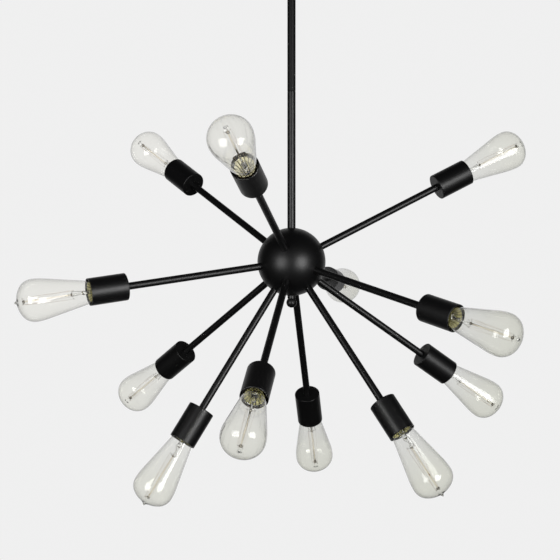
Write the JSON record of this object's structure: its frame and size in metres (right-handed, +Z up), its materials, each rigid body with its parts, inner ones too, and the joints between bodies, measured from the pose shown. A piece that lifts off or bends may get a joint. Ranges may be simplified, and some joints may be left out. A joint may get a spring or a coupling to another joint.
{
  "type": "sputnik chandelier",
  "caption": "Starburst ceiling light: a ball hub on a jointed stem, straight arms in four rings, deep socket cups and clear pear-shaped screw-in bulbs.",
  "frame": {"origin": "middle of the crossbar's top face, in the plane of the ceiling", "axes": "+Z up, out of the top of the crossbar into the ceiling; +X along the crossbar; the picture looks along +Y"},
  "size_m": [0.7785, 0.8083, 0.9192],
  "materials": {
    "black_coat": "satin black powder coat",
    "zinc_steel": "zinc-plated steel",
    "brass": "drawn brass sheet",
    "phenolic": "moulded phenolic",
    "clear_glass": "clear blown glass"
  },
  "bodies": {
    "ceiling_mount": {"crossbar": "zinc_steel", "canopy": "black_coat", "canopy_fasteners": "zinc_steel"},
    "swivel": {"swivel_head": "black_coat"},
    "fixture": {"swivel_knuckle": "black_coat", "stem_rod_upper": "black_coat", "stem_rod_lower": "black_coat", "threaded_fasteners": "zinc_steel", "hub_ball": "black_coat", "finial": "black_coat", "lamp_holders": "phenolic", "screw_shells": "brass", "upper_arm_1": "black_coat", "upper_arm_2": "black_coat", "upper_arm_3": "black_coat", "middle_arm_1": "black_coat", "middle_arm_2": "black_coat", "middle_arm_3": "black_coat", "lower_arm_1": "black_coat", "lower_arm_2": "black_coat", "lower_arm_3": "black_coat", "bottom_arm_1": "black_coat", "bottom_arm_2": "black_coat", "bottom_arm_3": "black_coat", "upper_socket_cup_1": "black_coat", "upper_socket_cup_2": "black_coat", "upper_socket_cup_3": "black_coat", "middle_socket_cup_1": "black_coat", "middle_socket_cup_2": "black_coat", "middle_socket_cup_3": "black_coat", "lower_socket_cup_1": "black_coat", "lower_socket_cup_2": "black_coat", "lower_socket_cup_3": "black_coat", "bottom_socket_cup_1": "black_coat", "bottom_socket_cup_2": "black_coat", "bottom_socket_cup_3": "black_coat"},
    "upper_bulb_1": {"upper_bulb_glass_1": "clear_glass", "upper_bulb_base_1": "brass"},
    "upper_bulb_2": {"upper_bulb_glass_2": "clear_glass", "upper_bulb_base_2": "brass"},
    "upper_bulb_3": {"upper_bulb_glass_3": "clear_glass", "upper_bulb_base_3": "brass"},
    "middle_bulb_1": {"middle_bulb_glass_1": "clear_glass", "middle_bulb_base_1": "brass"},
    "middle_bulb_2": {"middle_bulb_glass_2": "clear_glass", "middle_bulb_base_2": "brass"},
    "middle_bulb_3": {"middle_bulb_glass_3": "clear_glass", "middle_bulb_base_3": "brass"},
    "lower_bulb_1": {"lower_bulb_glass_1": "clear_glass", "lower_bulb_base_1": "brass"},
    "lower_bulb_2": {"lower_bulb_glass_2": "clear_glass", "lower_bulb_base_2": "brass"},
    "lower_bulb_3": {"lower_bulb_glass_3": "clear_glass", "lower_bulb_base_3": "brass"},
    "bottom_bulb_1": {"bottom_bulb_glass_1": "clear_glass", "bottom_bulb_base_1": "brass"},
    "bottom_bulb_2": {"bottom_bulb_glass_2": "clear_glass", "bottom_bulb_base_2": "brass"},
    "bottom_bulb_3": {"bottom_bulb_glass_3": "clear_glass", "bottom_bulb_base_3": "brass"}
  },
  "joints": [
    {"name": "swivel_turn", "type": "hinge", "parent": "ceiling_mount", "child": "swivel", "pos_m": [0, 0, -0.0523], "axis": [0, 0, 1], "range_deg": [-170, 170]},
    {"name": "stem_tilt", "type": "hinge", "parent": "swivel", "child": "fixture", "pos_m": [0, 0, -0.0523], "axis": [1, 0, 0], "range_deg": [-35, 35]},
    {"name": "upper_bulb_1_out", "type": "slide", "parent": "fixture", "child": "upper_bulb_1", "axis": [0.8648, 0.2447, 0.4384], "range_m": [0, 0.06]},
    {"name": "upper_bulb_2_out", "type": "slide", "parent": "fixture", "child": "upper_bulb_2", "axis": [-0.6117, 0.6401, 0.4648], "range_m": [0, 0.06]},
    {"name": "upper_bulb_3_out", "type": "slide", "parent": "fixture", "child": "upper_bulb_3", "axis": [-0.1952, -0.888, 0.4163], "range_m": [0, 0.06]},
    {"name": "middle_bulb_1_out", "type": "slide", "parent": "fixture", "child": "middle_bulb_1", "axis": [0.2315, 0.9643, -0.1288], "range_m": [0, 0.06]},
    {"name": "middle_bulb_2_out", "type": "slide", "parent": "fixture", "child": "middle_bulb_2", "axis": [-0.9168, -0.3779, -0.1288], "range_m": [0, 0.06]},
    {"name": "middle_bulb_3_out", "type": "slide", "parent": "fixture", "child": "middle_bulb_3", "axis": [0.7129, -0.6625, -0.2301], "range_m": [0, 0.06]},
    {"name": "lower_bulb_1_out", "type": "slide", "parent": "fixture", "child": "lower_bulb_1", "axis": [0.7825, 0.271, -0.5606], "range_m": [0, 0.06]},
    {"name": "lower_bulb_2_out", "type": "slide", "parent": "fixture", "child": "lower_bulb_2", "axis": [-0.6527, 0.5063, -0.5635], "range_m": [0, 0.06]},
    {"name": "lower_bulb_3_out", "type": "slide", "parent": "fixture", "child": "lower_bulb_3", "axis": [-0.1584, -0.8148, -0.5577], "range_m": [0, 0.06]},
    {"name": "bottom_bulb_1_out", "type": "slide", "parent": "fixture", "child": "bottom_bulb_1", "axis": [0.0969, 0.5493, -0.83], "range_m": [0, 0.06]},
    {"name": "bottom_bulb_2_out", "type": "slide", "parent": "fixture", "child": "bottom_bulb_2", "axis": [-0.5073, -0.242, -0.8271], "range_m": [0, 0.06]},
    {"name": "bottom_bulb_3_out", "type": "slide", "parent": "fixture", "child": "bottom_bulb_3", "axis": [0.5017, -0.4019, -0.766], "range_m": [0, 0.06]}
  ]
}
